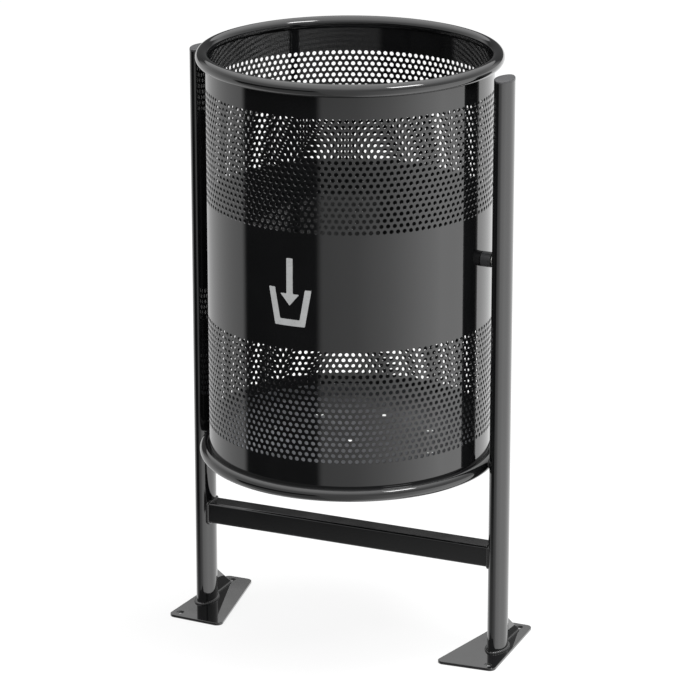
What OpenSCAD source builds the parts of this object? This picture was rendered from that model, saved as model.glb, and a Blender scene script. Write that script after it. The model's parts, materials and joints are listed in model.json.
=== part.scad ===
// Tipping litter bin: a round perforated steel basket hung between two oval posts.
// The origin is on the ground, midway between the posts. The posts stand along X,
// the sign on the basket faces -Y, and the basket tips towards -Y about the X axis.

/* [Basket] */
// Outside diameter of the two tube rings that edge the basket
rim_d = 420; // [340:5:560]
// Diameter of the tube that the rings are bent from
ring_tube_d = 18; // [16:1:26]
// Wall thickness of the ring tube
ring_tube_wall = 1.5; // [1:0.5:3]
// Height of the basket from the underside of the lower ring to the top of the upper ring
basket_h = 579; // [470:1:720]
// Height of the basket's underside above the ground
basket_clearance = 261; // [235:1:340]
// Thickness of the basket's sheet wall
wall_t = 1.5; // [1:0.25:3]
// How far the wall's outer face stands inside the middle line of the ring tube
wall_offset = 4; // [0:0.5:5]

/* [Basket floor] */
// Thickness of the floor pan
floor_t = 1.5; // [1:0.25:3]
// Height of the floor pan's upturned edge
floor_edge_h = 20; // [8:1:40]
// Gap between the floor pan and what it is welded to: the sheet wall and the lower ring
floor_gap = 0.3; // [0.1:0.1:0.8]
// Diameter of one drain hole
drain_d = 12; // [6:1:20]
// Number of drain holes round the middle one
drain_count = 8; // [4:1:12]
// Diameter of the circle that the drain holes lie on
drain_circle_d = 240; // [120:5:280]

/* [Sign] */
// Width of the bucket in the sign
sign_w = 62; // [40:1:90]
// Height of the whole sign
sign_h = 94; // [60:1:130]
// Width of the sign's strokes
sign_stroke = 9; // [4:0.5:10]
// Thickness of the sign's film
sign_t = 0.4; // [0.2:0.1:1]

/* [Seam] */
// Direction of the wall's seam, counted from the right-hand pivot
seam_angle = 139; // [100:1:170]
// Width of the seam bead inside the wall
seam_w = 3; // [2:0.5:6]
// Height of the seam bead
seam_t = 0.5; // [0.3:0.1:1.5]
// Height of the plain band in the middle of the wall
plain_band_h = 162; // [100:1:200]
// Height of the plain band below the upper ring
plain_top_h = 31; // [20:1:60]

/* [Posts] */
// Height of the posts with their caps
post_h = 822; // [700:1:1000]
// Depth of the oval tube, front to back
post_depth = 48; // [40:1:70]
// Width of the oval tube
post_w = 26; // [22:1:34]
// Radius of the oval's front and back ends
post_end_r = 7; // [4:0.5:9]
// Wall thickness of the oval tube
post_wall = 2; // [1.5:0.25:3]
// Gap between the rings' outside and a post
post_gap = 3; // [2:0.5:12]
// Thickness of the post cap's head
cap_t = 3; // [2:0.5:8]
// Depth of the post cap's plug
cap_plug = 15; // [8:1:30]
// Gap between the cap's plug and the tube
cap_gap = 0.2; // [0.1:0.1:0.6]
// Wall thickness of the cap's plug
cap_wall = 2; // [1.5:0.5:3]

/* [Crossbar] */
// Height of the square bar that joins the posts
bar_h = 30; // [20:1:45]
// Depth of that bar, front to back
bar_depth = 30; // [20:1:34]
// Wall thickness of the bar
bar_wall = 2; // [1.5:0.25:3]
// Height of the bar's middle above the ground
bar_mid_z = 142; // [90:1:165]

/* [Base plates] */
// Thickness of a base plate
plate_t = 4; // [3:0.5:12]
// Reach of a plate in front of its post's middle, at the outer corner
plate_front_outer = 76; // [65:1:110]
// Reach of a plate in front of its post's middle, at the inner corner
plate_front_inner = 82; // [65:1:120]
// Reach of a plate behind its post's middle
plate_rear = 95; // [85:1:120]
// Overhang outwards of the post's middle, at the front
plate_outer_front = 25; // [22:0.5:40]
// Overhang outwards of the post's middle, at the back
plate_outer_rear = 15.5; // [14:0.5:40]
// Overhang inwards of the post's middle, at the front
plate_inner_front = 61.5; // [40:0.5:90]
// Overhang inwards of the post's middle, at the back
plate_inner_rear = 27; // [20:0.5:60]
// Radius of a plate's corners
plate_corner_r = 9; // [3:0.5:13]
// Diameter of a floor fixing hole
fixing_d = 11; // [8:0.5:14]
// Distance of a fixing hole's middle from the plate's edges
fixing_edge = 13; // [10:0.5:16]

/* [Gussets and welds] */
// Thickness of the gusset behind a post
gusset_t = 6; // [4:0.5:10]
// Height of the gusset on the post
gusset_h = 40; // [25:1:70]
// Reach of the gusset behind the post
gusset_reach = 47; // [30:1:50]
// Leg of a weld bead
weld_leg = 3; // [2:0.5:5]

/* [Pivots] */
// Height of the pivots above the middle of the basket
pivot_rise = 17; // [5:1:40]
// Diameter of a pivot stud
stud_d = 10; // [8:0.5:12]
// Gap all round between a stud and what turns on it
running_gap = 0.05; // [0.03:0.01:0.1]
// Gap along the axis between parts that turn and parts that stand still
side_gap = 0.3; // [0.2:0.1:0.5]
// Diameter of a bush's spacer, between the wall and a post
bush_d = 21; // [19:0.5:28]
// Diameter of a bush's barrel, through the wall
barrel_d = 15.8; // [14.8:0.1:17]
// Gap all round between a barrel and its hole
barrel_gap = 0.1; // [0.05:0.05:0.3]
// Thickness of the plate that backs the wall at a pivot
backing_t = 3; // [2:0.5:6]
// Width and height of that plate
backing_w = 70; // [50:1:100]
// Diameter of the threaded insert's body in a post
insert_d = 13; // [12.5:0.1:15]
// Thickness of the insert's flange
insert_flange_t = 1.2; // [0.8:0.1:2]
// Length of the insert's body inside a post
insert_l = 14; // [8:0.5:16]
// Diameter of a washer
washer_d = 24; // [20:0.5:32]
// Thickness of a washer
washer_t = 2; // [1.5:0.25:3]
// Width of a lock nut across its flats
nut_af = 17; // [15:0.5:22]
// Height of a lock nut's hexagon
nut_h = 8; // [6:0.5:12]

/* [Side buffers] */
// Diameter of the rubber buffer between a post and the lower ring
buffer_d = 16; // [12:1:20]
// Height of a buffer's middle above the middle of the lower ring
buffer_rise = 6; // [0:0.5:6]
// Gap between a buffer and the ring
buffer_gap = 0.4; // [0.3:0.1:0.8]

/* [Hidden] */
$fn = 96;

// Basket
rim_r = rim_d / 2;
ring_r = ring_tube_d / 2;
ring_mid_r = rim_r - ring_r;
wall_r = ring_mid_r - wall_offset;
wall_in_r = wall_r - wall_t;
lower_ring_z = basket_clearance + ring_r;
upper_ring_z = basket_clearance + basket_h - ring_r;
basket_mid_z = (lower_ring_z + upper_ring_z) / 2;
// height of the ring tube's curved surface above its middle, at a radius of the basket
function ring_seat(r) = sqrt(max(0, pow(ring_r, 2) - pow(ring_mid_r - r, 2)));
wall_z0 = lower_ring_z + ring_seat(wall_r);
wall_z1 = upper_ring_z - ring_seat(wall_r);
floor_r = wall_in_r - floor_gap;
floor_z = lower_ring_z + ring_seat(floor_r) + floor_gap;
// the seam bead stops this far short of a perforated band and of the upper ring
seam_gap = 2;

// Posts and what stands on the ground
post_x = rim_r + post_gap + post_w / 2;
post_face_x = rim_r + post_gap;
gusset_front = post_depth / 2;
fixing_front_x = plate_outer_front - fixing_edge;
fixing_front_y = fixing_edge - plate_front_outer;
fixing_rear_y = plate_rear - fixing_edge;

// Pivots, from the middle of the basket outwards
pivot_z = basket_mid_z + pivot_rise;
backing_r = wall_in_r - backing_t;
bush_in_x = backing_r - 1;
washer_x = bush_in_x - side_gap - washer_t;
nut_x = washer_x - nut_h;
nut_collar_h = 2;
nut_collar_d = 0.82 * nut_af;
stud_end = 1.5;
stud_in_x = nut_x - nut_collar_h - stud_end;
stud_out_x = post_face_x + insert_l - stud_end;
insert_flange_d = insert_d + 2.5;
bush_out_x = post_face_x - insert_flange_t - side_gap;
far = 2 * rim_d;

// An oval of four arcs, its long axis along Y; grow moves its outline out or in
module oval(grow = 0) {
    half_w = post_w / 2;
    end_mid = post_depth / 2 - post_end_r;
    side_r = (pow(half_w, 2) + pow(end_mid, 2) - pow(post_end_r, 2)) / (2 * (half_w - post_end_r));
    // the long arcs run as far as the points where the end arcs meet them
    join_y = (side_r + grow) * end_mid / (side_r - post_end_r);
    intersection() {
        translate([side_r - half_w, 0]) circle(side_r + grow, $fn = 180);
        translate([half_w - side_r, 0]) circle(side_r + grow, $fn = 180);
        square([2 * post_w, 2 * join_y], center = true);
    }
    for (end = [-1, 1]) translate([0, end * end_mid]) circle(post_end_r + grow);
}

// Puts its children on a post's middle line
module at_post() {
    translate([post_x, 0, 0]) children();
}

// A cylinder along X from x0 to x1, on the pivot axis
module on_pivot(x0, x1, d) {
    translate([x0, 0, pivot_z]) rotate([0, 90, 0]) cylinder(h = x1 - x0, d = d);
}

// A closed polygon with every corner rounded; pts are the sharp corners, counter-clockwise
module rounded_outline(pts, r) {
    n = len(pts);
    dirs = [for (i = [0 : n - 1]) let (d = pts[(i + 1) % n] - pts[i]) d / norm(d)];
    outs = [for (d = dirs) [d[1], -d[0]]];
    mids = [for (i = [0 : n - 1])
        let (a = outs[(i + n - 1) % n], b = outs[i])
        pts[i] - r * (a + b) / (1 + a * b)];
    polygon([for (i = [0 : n - 1]) each [mids[i] + r * outs[i], mids[(i + 1) % n] + r * outs[i]]]);
    for (m = mids) translate(m) circle(r);
}

// ---- the stand, right-hand side; the left is its mirror image

module right_post() {
    color([0.16, 0.16, 0.17]) difference() {
        at_post() translate([0, 0, plate_t]) linear_extrude(post_h - cap_t - plate_t) difference() {
            oval();
            oval(-post_wall);
        }
        on_pivot(post_face_x - 5, post_x, insert_d + 2 * barrel_gap);
    }
}

module right_post_cap() {
    color([0.05, 0.05, 0.05]) at_post() {
        translate([0, 0, post_h - cap_t]) linear_extrude(cap_t) oval();
        translate([0, 0, post_h - cap_t - cap_plug]) linear_extrude(cap_plug) difference() {
            oval(-post_wall - cap_gap);
            oval(-post_wall - cap_gap - cap_wall);
        }
    }
}

module right_base_plate() {
    corners = [
        [-plate_inner_front, -plate_front_inner],
        [plate_outer_front, -plate_front_outer],
        [plate_outer_rear, plate_rear],
        [-plate_inner_rear, plate_rear]
    ];
    color([0.16, 0.16, 0.17]) at_post() linear_extrude(plate_t) difference() {
        rounded_outline(corners, plate_corner_r);
        translate([fixing_front_x, fixing_front_y]) circle(d = fixing_d);
        translate([0, fixing_rear_y]) circle(d = fixing_d);
    }
}

module gusset_body() {
    translate([-gusset_t / 2, 0, plate_t]) rotate([90, 0, 90]) linear_extrude(gusset_t) polygon([
        [0, 0],
        [gusset_front + gusset_reach, 0],
        [gusset_front + gusset_reach, weld_leg],
        [gusset_front, gusset_h],
        [0, gusset_h]
    ]);
}

module right_gusset() {
    color([0.16, 0.16, 0.17]) at_post() difference() {
        gusset_body();
        linear_extrude(post_h) oval();
    }
}

module right_foot_weld() {
    color([0.2, 0.2, 0.21]) at_post() difference() {
        translate([0, 0, plate_t]) linear_extrude(weld_leg) difference() {
            oval(weld_leg);
            oval();
        }
        translate([-gusset_t / 2, 0, 0]) cube([gusset_t, post_depth, post_h]);
    }
}

module right_insert() {
    color([0.6, 0.58, 0.5]) difference() {
        union() {
            on_pivot(post_face_x - insert_flange_t, post_face_x, insert_flange_d);
            on_pivot(post_face_x - insert_flange_t, post_face_x + insert_l, insert_d);
        }
        on_pivot(post_face_x - 5, post_face_x + insert_l + 1, stud_d + 2 * running_gap);
    }
}

module right_pivot_stud() {
    color([0.7, 0.7, 0.7]) on_pivot(stud_in_x, stud_out_x, stud_d);
}

module right_washer() {
    color([0.7, 0.7, 0.7]) difference() {
        on_pivot(washer_x, washer_x + washer_t, washer_d);
        on_pivot(washer_x - 1, washer_x + washer_t + 1, stud_d + 2 * running_gap);
    }
}

module right_lock_nut() {
    color([0.7, 0.7, 0.7]) difference() {
        union() {
            translate([nut_x, 0, pivot_z]) rotate([0, 90, 0])
                cylinder(h = nut_h, d = nut_af / cos(30), $fn = 6);
            on_pivot(nut_x - nut_collar_h, nut_x + 1, nut_collar_d);
        }
        on_pivot(nut_x - 5, nut_x + nut_h + 1, stud_d + 2 * running_gap);
    }
}

module right_buffer() {
    color([0.04, 0.04, 0.04]) difference() {
        translate([rim_r + buffer_gap, 0, lower_ring_z + buffer_rise]) rotate([0, 90, 0])
            cylinder(h = post_w / 2, d = buffer_d);
        at_post() linear_extrude(post_h) oval();
    }
}

module bar_body(grow = 0) {
    translate([-post_x, -bar_depth / 2 - grow, bar_mid_z - bar_h / 2 - grow])
        cube([2 * post_x, bar_depth + 2 * grow, bar_h + 2 * grow]);
}

module both_ovals() {
    for (side = [-1, 1]) translate([side * post_x, 0, 0]) linear_extrude(post_h) oval();
}

module crossbar() {
    color([0.16, 0.16, 0.17]) difference() {
        bar_body();
        bar_body(-bar_wall);
        both_ovals();
    }
}

module right_bar_weld() {
    // the bead ends where the post's side has curved away by one leg
    bead_x = post_x - post_w / 2 - weld_leg;
    color([0.2, 0.2, 0.21]) difference() {
        intersection() {
            bar_body(weld_leg);
            translate([bead_x, -far / 2, 0]) cube([far, far, far]);
        }
        bar_body();
        both_ovals();
    }
}

// ---- the basket

module wall_hole(side) {
    rotate([0, side * 90, 0]) cylinder(h = far, d = barrel_d + 2 * barrel_gap);
}

module basket_wall() {
    color([0.16, 0.16, 0.17]) difference() {
        translate([0, 0, wall_z0]) cylinder(h = wall_z1 - wall_z0, r = wall_r, $fn = 360);
        translate([0, 0, wall_z0 - 1]) cylinder(h = basket_h, r = wall_in_r, $fn = 360);
        for (side = [-1, 1]) translate([0, 0, pivot_z]) wall_hole(side);
    }
}

module seam_bead(z0, z1) {
    intersection() {
        translate([0, 0, z0]) difference() {
            cylinder(h = z1 - z0, r = wall_in_r, $fn = 360);
            translate([0, 0, -1]) cylinder(h = basket_h, r = wall_in_r - seam_t, $fn = 360);
        }
        rotate([0, 0, seam_angle]) translate([0, -seam_w / 2, 0]) cube([far, seam_w, far]);
    }
}

module seam_weld() {
    color([0.2, 0.2, 0.21]) {
        seam_bead(wall_z1 - plain_top_h + seam_gap, wall_z1 - seam_gap);
        seam_bead(basket_mid_z - plain_band_h / 2 + seam_gap, basket_mid_z + plain_band_h / 2 - seam_gap);
    }
}

module tube_ring(z) {
    color([0.16, 0.16, 0.17]) translate([0, 0, z]) rotate_extrude($fn = 360) translate([ring_mid_r, 0])
        difference() {
            circle(ring_r);
            circle(ring_r - ring_tube_wall);
        }
}

module top_ring() {
    tube_ring(upper_ring_z);
}

module bottom_ring() {
    tube_ring(lower_ring_z);
}

module floor_pan() {
    color([0.2, 0.2, 0.21]) difference() {
        translate([0, 0, floor_z]) cylinder(h = floor_edge_h, r = floor_r, $fn = 360);
        translate([0, 0, floor_z + floor_t]) cylinder(h = floor_edge_h, r = floor_r - floor_t, $fn = 360);
        translate([0, 0, floor_z - 1]) {
            cylinder(h = floor_t + 2, d = drain_d);
            for (i = [0 : drain_count - 1]) rotate([0, 0, i * 360 / drain_count])
                translate([drain_circle_d / 2, 0, 0]) cylinder(h = floor_t + 2, d = drain_d);
        }
    }
}

module right_pivot_plate() {
    color([0.2, 0.2, 0.21]) translate([0, 0, pivot_z]) difference() {
        intersection() {
            translate([0, 0, -backing_w / 2]) cylinder(h = backing_w, r = wall_in_r, $fn = 360);
            translate([0, -backing_w / 2, -backing_w / 2]) cube([far, backing_w, backing_w]);
        }
        translate([0, 0, -backing_w]) cylinder(h = 2 * backing_w, r = backing_r, $fn = 360);
        wall_hole(1);
    }
}

module right_bush() {
    color([0.05, 0.05, 0.05]) difference() {
        union() {
            on_pivot(wall_r, bush_out_x, bush_d);
            on_pivot(bush_in_x, bush_out_x, barrel_d);
        }
        on_pivot(bush_in_x - 1, bush_out_x + 1, stud_d + 2 * running_gap);
    }
}

// An open bucket with an arrow pointing down into it
module sign_outline() {
    bucket_h = 0.55 * sign_h;
    bottom_w = 0.7 * sign_w;
    arrow_tip = 0.3 * sign_h;
    arrow_w = 0.44 * sign_w;
    head_h = 0.6 * arrow_w;
    // half the width lost by the sloping stroke, level with the bucket's top and bottom
    slope = (sign_w - bottom_w) / 2 / bucket_h;
    polygon([
        [-sign_w / 2, bucket_h],
        [-bottom_w / 2, 0],
        [bottom_w / 2, 0],
        [sign_w / 2, bucket_h],
        [sign_w / 2 - sign_stroke, bucket_h],
        [bottom_w / 2 - sign_stroke + slope * sign_stroke, sign_stroke],
        [-bottom_w / 2 + sign_stroke - slope * sign_stroke, sign_stroke],
        [-sign_w / 2 + sign_stroke, bucket_h]
    ]);
    translate([0, arrow_tip]) polygon([
        [0, 0],
        [arrow_w / 2, head_h],
        [sign_stroke / 2, head_h],
        [sign_stroke / 2, sign_h - arrow_tip],
        [-sign_stroke / 2, sign_h - arrow_tip],
        [-sign_stroke / 2, head_h],
        [-arrow_w / 2, head_h]
    ]);
}

module bucket_sign() {
    color([0.75, 0.76, 0.76]) intersection() {
        translate([0, 0, basket_mid_z - sign_h / 2]) rotate([90, 0, 0]) linear_extrude(rim_d) sign_outline();
        difference() {
            cylinder(h = far, r = wall_r + sign_t, $fn = 360);
            translate([0, 0, -1]) cylinder(h = far + 2, r = wall_r, $fn = 360);
        }
    }
}

mirror([1, 0, 0]) right_post();  // left_post
right_post();
mirror([1, 0, 0]) right_post_cap();  // left_post_cap
right_post_cap();
crossbar();
mirror([1, 0, 0]) right_bar_weld();  // left_bar_weld
right_bar_weld();
mirror([1, 0, 0]) right_base_plate();  // left_base_plate
right_base_plate();
mirror([1, 0, 0]) right_gusset();  // left_gusset
right_gusset();
mirror([1, 0, 0]) right_foot_weld();  // left_foot_weld
right_foot_weld();
mirror([1, 0, 0]) right_insert();  // left_insert
right_insert();
mirror([1, 0, 0]) right_pivot_stud();  // left_pivot_stud
right_pivot_stud();
mirror([1, 0, 0]) right_washer();  // left_washer
right_washer();
mirror([1, 0, 0]) right_lock_nut();  // left_lock_nut
right_lock_nut();
mirror([1, 0, 0]) right_buffer();  // left_buffer
right_buffer();
basket_wall();
seam_weld();
top_ring();
bottom_ring();
floor_pan();
mirror([1, 0, 0]) right_pivot_plate();  // left_pivot_plate
right_pivot_plate();
mirror([1, 0, 0]) right_bush();  // left_bush
right_bush();
bucket_sign();
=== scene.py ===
"""Tipping litter bin: the visual model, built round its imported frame."""
import json
import math

import bmesh
import bpy
import numpy as np
from bpy.props import FloatProperty, FloatVectorProperty, IntProperty, PointerProperty
from mathutils import Matrix, Vector


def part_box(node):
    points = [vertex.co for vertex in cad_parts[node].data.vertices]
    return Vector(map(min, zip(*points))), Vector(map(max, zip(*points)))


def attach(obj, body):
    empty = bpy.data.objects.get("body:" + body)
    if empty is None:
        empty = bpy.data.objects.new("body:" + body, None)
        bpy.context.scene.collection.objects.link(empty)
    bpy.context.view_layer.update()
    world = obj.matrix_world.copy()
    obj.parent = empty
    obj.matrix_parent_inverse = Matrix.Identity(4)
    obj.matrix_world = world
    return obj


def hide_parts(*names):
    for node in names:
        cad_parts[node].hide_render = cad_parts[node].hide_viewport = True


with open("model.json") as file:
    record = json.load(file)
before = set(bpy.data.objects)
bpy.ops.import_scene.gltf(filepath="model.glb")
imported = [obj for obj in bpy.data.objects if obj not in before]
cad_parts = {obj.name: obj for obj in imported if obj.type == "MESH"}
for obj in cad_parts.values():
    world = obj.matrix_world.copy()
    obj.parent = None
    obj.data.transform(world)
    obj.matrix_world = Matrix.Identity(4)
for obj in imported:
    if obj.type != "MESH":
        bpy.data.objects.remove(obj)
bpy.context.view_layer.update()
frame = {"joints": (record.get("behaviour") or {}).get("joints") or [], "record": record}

bl_info = {
    "name": "Tipping litter bin",
    "version": (1, 0, 0),
    "blender": (4, 5, 0),
    "location": "View3D > Sidebar > Litter bin",
    "description": "Builds a perforated tipping litter bin round its frame",
    "category": "Add Mesh",
}

MM = 0.001
STAND = "stand"
BASKET = "bin"
SIDES = (("left", -1), ("right", 1))
BEAD_STEP = 0.9 * MM


# ---- sizes that come from the frame


def low_high(node):
    """Lowest and highest corner of a node."""
    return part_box(node)


RING_LOW, RING_HIGH = low_high("top_ring")
RIM_R = RING_HIGH.x
TUBE_R = (RING_HIGH.z - RING_LOW.z) / 2
RING_R = RIM_R - TUBE_R
WALL_LOW, WALL_HIGH = low_high("basket_wall")
WALL_R = WALL_HIGH.x
PAN_LOW, PAN_HIGH = low_high("floor_pan")
POST_LOW, POST_HIGH = low_high("right_post")
POST_X = (POST_LOW.x + POST_HIGH.x) / 2
POST_W = POST_HIGH.x - POST_LOW.x
POST_D = POST_HIGH.y - POST_LOW.y
CAP_HIGH = low_high("right_post_cap")[1]
BAR_LOW, BAR_HIGH = low_high("crossbar")
PLATE_LOW, PLATE_HIGH = low_high("right_base_plate")
PIVOT_Z = frame["joints"][0]["pos_m"][2]


# ---- properties


def length(name, note, value):
    """A length, given in millimetres."""
    return FloatProperty(name=name, description=note, default=value * MM, unit="LENGTH")


def colour(name, note, value):
    """A colour."""
    return FloatVectorProperty(name=name, description=note, subtype="COLOR", default=value)


class WallSizes(bpy.types.PropertyGroup):
    """The basket's sheet wall and its holes."""

    thickness: length("Sheet thickness", "Thickness of the wall's sheet", 1.5)
    hole: length("Hole diameter", "Diameter of one hole of the perforated bands", 6.0)
    row: length("Row pitch", "Height between two rows of holes", 8.0)
    rows: IntProperty(name="Rows", description="Rows of holes in each band, an even number", default=20)
    columns: IntProperty(name="Holes round", description="Holes in one row, all the way round", default=134)
    sides: IntProperty(name="Sides of a hole", description="Corners in the outline of one hole", default=12)
    top_collar: length("Top collar", "Plain height above the upper band", 30.5)
    bottom_collar: length("Bottom collar", "Plain height below the lower band", 34.0)
    pivot_hole: length("Pivot hole", "Diameter of the wall's hole for a bush's barrel", 16.0)
    tuck: length("Tuck", "How far the sheet's edges reach into the rings' welds", 1.6)


class SteelSizes(bpy.types.PropertyGroup):
    """Small sizes of the stand and of the pivots."""

    edge: length("Edge radius", "Radius of the plates' broken edges", 0.7)
    bar_corner: length("Bar corner", "Outside corner radius of the square crossbar", 3.0)
    end_radius: length("Oval end radius", "Radius of the oval post's front and back", 7.0)
    plate_corner: length("Plate corner", "Corner radius of a base plate", 9.0)
    fixing: length("Fixing hole", "Diameter of a floor fixing hole", 11.0)
    weld: length("Weld bead", "Radius of a weld bead", 2.8)
    drain: length("Drain hole", "Diameter of a drain hole in the floor pan", 12.0)
    stud: length("Pivot stud", "Diameter of a pivot stud", 10.0)


class Finishes(bpy.types.PropertyGroup):
    """Colours of the finishes."""

    coat: colour("Powder coat", "Colour of the gloss powder coat", (0.0032, 0.0033, 0.0035))
    plastic: colour("Black plastic", "Colour of caps and bushes", (0.012, 0.012, 0.013))
    rubber: colour("Rubber", "Colour of the buffers", (0.015, 0.015, 0.015))
    zinc: colour("Zinc plate", "Colour of nuts, washers and studs", (0.58, 0.58, 0.56))
    film: colour("Sign film", "Colour of the sign", (0.30, 0.305, 0.305))
    floor: colour("Floor", "Colour of the studio floor", (0.9, 0.9, 0.9))


class StageSizes(bpy.types.PropertyGroup):
    """Where the camera stands."""

    azimuth: FloatProperty(name="Camera azimuth", description="Turn of the camera to the right of the front",
                           default=math.radians(24.11), subtype="ANGLE")
    distance: FloatProperty(name="Camera distance", description="Distance of the camera along the ground",
                            default=5.0, unit="LENGTH")
    height: FloatProperty(name="Camera height", description="Height of the camera above the ground",
                          default=2.030, unit="LENGTH")
    pitch: FloatProperty(name="Camera pitch", description="How far the camera looks down",
                         default=math.radians(17.94), subtype="ANGLE")
    lens: FloatProperty(name="Lens", description="Focal length of the camera in millimetres", default=194.6)


# ---- mesh helpers


def fresh():
    """An empty bmesh."""
    return bmesh.new()


def as_mesh(shape, name):
    """A shape as a mesh; a bmesh is used up."""
    if isinstance(shape, bpy.types.Mesh):
        return shape
    mesh = bpy.data.meshes.new(name)
    shape.to_mesh(mesh)
    shape.free()
    return mesh


def joined(shapes):
    """One bmesh of several shapes, which are used up."""
    bm = fresh()
    for shape in shapes:
        mesh = as_mesh(shape, "part")
        bm.from_mesh(mesh)
        bpy.data.meshes.remove(mesh)
    return bm


def piece(shape, name, maker, body, node, sharp=40.0):
    """Makes a finished piece: its material, the body that it rides on and the node that it stands for."""
    mesh = as_mesh(shape, name)
    obj = bpy.data.objects.new(name, mesh)
    bpy.context.scene.collection.objects.link(obj)
    mesh.materials.clear()
    mesh.materials.append(finish_of(maker))
    if sharp is not None:
        mesh.shade_smooth()
        mesh.set_sharp_from_angle(angle=math.radians(sharp))
        # large faces keep their own normals, so that only the rounded edges shade as round
        weighted = obj.modifiers.new("flat faces", "WEIGHTED_NORMAL")
        weighted.keep_sharp = True
        weighted.weight = 100
    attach(obj, body)
    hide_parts(node)


def whole(bm):
    """All that a bmesh holds."""
    return bm.verts[:] + bm.edges[:] + bm.faces[:]


def only_verts(geom):
    """The vertices of what an operation gives back."""
    return [v for v in geom if isinstance(v, bmesh.types.BMVert)]


def shift(bm, vec):
    """Moves a whole shape."""
    bmesh.ops.translate(bm, vec=vec, verts=bm.verts[:])


def outline_face(bm, points):
    """One flat face in the XY plane from its outline."""
    return bm.faces.new([bm.verts.new((x, y, 0)) for x, y in points])


def raise_face(bm, face, height):
    """Turns a flat face into a closed slab of a height along Z."""
    moved = bmesh.ops.extrude_face_region(bm, geom=[face])["geom"]
    bmesh.ops.translate(bm, verts=only_verts(moved), vec=(0, 0, height))
    bmesh.ops.recalc_face_normals(bm, faces=bm.faces[:])


def slab(points, height):
    """A closed slab of a height along Z that stands on an outline in the XY plane."""
    bm = fresh()
    raise_face(bm, outline_face(bm, points), height)
    return bm


def sharp_edges(bm, angle=50.0):
    """The edges where two faces meet at more than an angle."""
    limit = math.radians(angle)
    return [e for e in bm.edges if len(e.link_faces) == 2 and e.calc_face_angle() > limit]


def round_edges(bm, edges, width, segments=3):
    """Rounds edges to a radius."""
    bmesh.ops.bevel(bm, geom=edges, offset=width, offset_type="OFFSET", segments=segments, profile=0.5,
                    affect="EDGES", material=-1, clamp_overlap=True)


def lathe(bm, outline, segments, closed=True):
    """Spins an outline of (radius, height) points round Z into a closed shape."""
    verts = [bm.verts.new((r, 0, z)) for r, z in outline]
    pairs = list(zip(verts, verts[1:]))
    if closed:
        pairs.append((verts[-1], verts[0]))
    edges = [bm.edges.new(pair) for pair in pairs]
    bmesh.ops.spin(bm, geom=verts + edges, cent=(0, 0, 0), axis=(0, 0, 1), angle=2 * math.pi,
                   steps=segments, use_merge=True)
    bmesh.ops.remove_doubles(bm, verts=bm.verts[:], dist=1e-6)
    bmesh.ops.recalc_face_normals(bm, faces=bm.faces[:])


def lay_along_x(bm, side, centre_z):
    """Turns what stands along Z so that it lies along X on one side, at a height."""
    turn = Matrix.Rotation(math.radians(90 * side), 4, "Y")
    bmesh.ops.transform(bm, matrix=Matrix.Translation((0, 0, centre_z)) @ turn, verts=bm.verts[:])


def turned(outline, side, centre_z, segments=48, closed=True):
    """A turned part that lies along X: outline is (radius, distance from the basket's middle)."""
    bm = fresh()
    lathe(bm, outline, segments, closed)
    lay_along_x(bm, side, centre_z)
    return bm


def rod(bm, diameter, depth, place, segments=32):
    """A round rod along Z, put in its place by a matrix."""
    bmesh.ops.create_cone(bm, cap_ends=True, segments=segments, radius1=diameter / 2, radius2=diameter / 2,
                          depth=depth, matrix=place)


def cut_away(bm, cutter_bm):
    """Cuts what lies inside closed cutters out of a shape; both are used up."""
    host = bpy.data.objects.new("host", as_mesh(bm, "host"))
    cutter = bpy.data.objects.new("cutter", as_mesh(cutter_bm, "cutter"))
    for obj in (host, cutter):
        bpy.context.scene.collection.objects.link(obj)
    cut = host.modifiers.new("holes", "BOOLEAN")
    cut.operation = "DIFFERENCE"
    cut.solver = "EXACT"
    cut.object = cutter
    made = fresh()
    made.from_object(host, bpy.context.evaluated_depsgraph_get())
    for obj in (host, cutter):
        bpy.data.objects.remove(obj)
    return made


def cut_holes(bm, holes, depth):
    """Cuts round holes along Z out of a shape; holes are (x, y, diameter)."""
    cutter_bm = fresh()
    for x, y, diameter in holes:
        rod(cutter_bm, diameter, depth, Matrix.Translation((x, y, 0)))
    return cut_away(bm, cutter_bm)


def slice_across(bm, count, step=3 * MM):
    """Cuts flat sheet across at so many steps each way from its middle, so that it can bend round."""
    for k in range(-count, count + 1):
        bmesh.ops.bisect_plane(bm, geom=whole(bm), plane_no=(1, 0, 0), plane_co=(k * step, 0, 0), dist=1e-6)


def arc(x, y, radius, start, sweep, steps):
    """Points along an arc round (x, y)."""
    turns = [start + sweep * k / steps for k in range(steps + 1)]
    return [(x + radius * math.cos(a), y + radius * math.sin(a)) for a in turns]


def circle(radius, count, x=0.0, y=0.0):
    """Corners of an even polygon round (x, y)."""
    return arc(x, y, radius, 0.0, 2 * math.pi, count)[:-1]


def oval_sizes():
    """The oval post's half width, the middle of its end arc and the radius of its long sides."""
    half_w, end_r = POST_W / 2, STEEL.end_radius
    end_mid = POST_D / 2 - end_r
    side_r = (half_w ** 2 + end_mid ** 2 - end_r ** 2) / (2 * (half_w - end_r))
    return half_w, end_mid, side_r


def oval(grow=0.0, arc_steps=14, side_steps=20):
    """Outline of the oval post, grown outwards or in: four arcs, the long axis along Y."""
    half_w, end_mid, side_r = oval_sizes()
    meet = math.atan2(end_mid, side_r - half_w)
    points = []
    for flip in (1, -1):
        long_side = arc(half_w - side_r, 0.0, side_r + grow, -meet, 2 * meet, side_steps)[:-1]
        end = arc(0.0, end_mid, STEEL.end_radius + grow, meet, math.pi - 2 * meet, arc_steps)[:-1]
        points += [(flip * x, flip * y) for x, y in long_side + end]
    return points


def post_face(y):
    """Distance of a post's inner side from the middle of the stand, at a depth y."""
    half_w, _, side_r = oval_sizes()
    return POST_X - half_w + side_r - math.sqrt(side_r ** 2 - y ** 2)


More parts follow.
